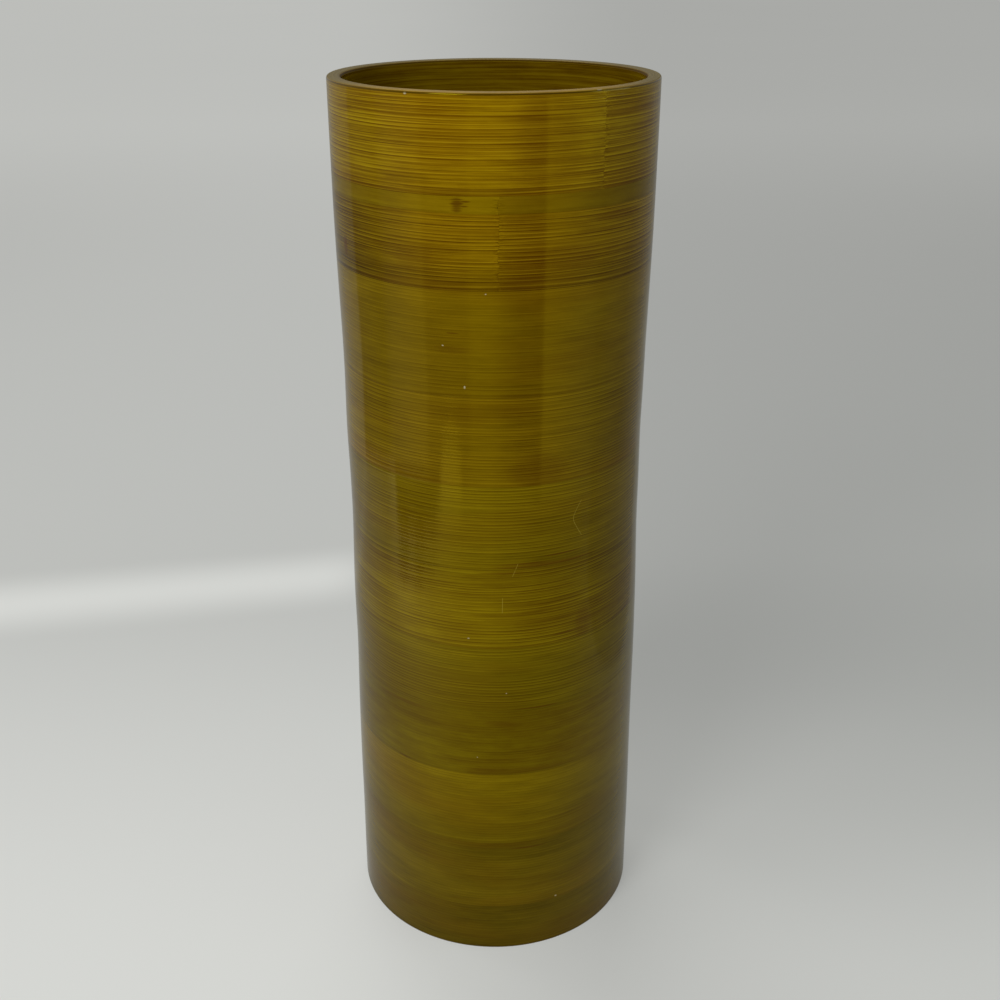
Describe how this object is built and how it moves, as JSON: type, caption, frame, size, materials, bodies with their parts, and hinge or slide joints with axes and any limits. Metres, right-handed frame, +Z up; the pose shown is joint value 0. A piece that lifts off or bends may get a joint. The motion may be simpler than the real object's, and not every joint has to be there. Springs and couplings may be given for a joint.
{
  "type": "vase",
  "caption": "Tall slim-waisted vase of wound bamboo bands with a flat rounded rim, lacquered all over, standing on its plain foot edge.",
  "frame": {"origin": "centre of the foot, on the surface that the vase stands on", "axes": "+Z up along the vase's axis, -Y towards the front as pictured, +X to the right"},
  "size_m": [0.139, 0.139, 0.406],
  "materials": {
    "striped_bamboo": "gloss lacquer",
    "pale_bamboo": "gloss lacquer",
    "plain_bamboo": "gloss lacquer",
    "dark_bamboo": "gloss lacquer",
    "base_bamboo": "satin lacquer"
  },
  "bodies": {
    "root": {"rim_band": "striped_bamboo", "knotted_strip": "pale_bamboo", "second_band": "striped_bamboo", "third_band": "plain_bamboo", "fourth_band": "plain_bamboo", "fifth_band": "plain_bamboo", "sixth_band": "striped_bamboo", "seventh_band": "plain_bamboo", "eighth_band": "striped_bamboo", "ninth_band": "plain_bamboo", "tenth_band": "dark_bamboo", "foot_band": "dark_bamboo", "base_coil": "base_bamboo", "base_core": "base_bamboo"}
  },
  "joints": []
}
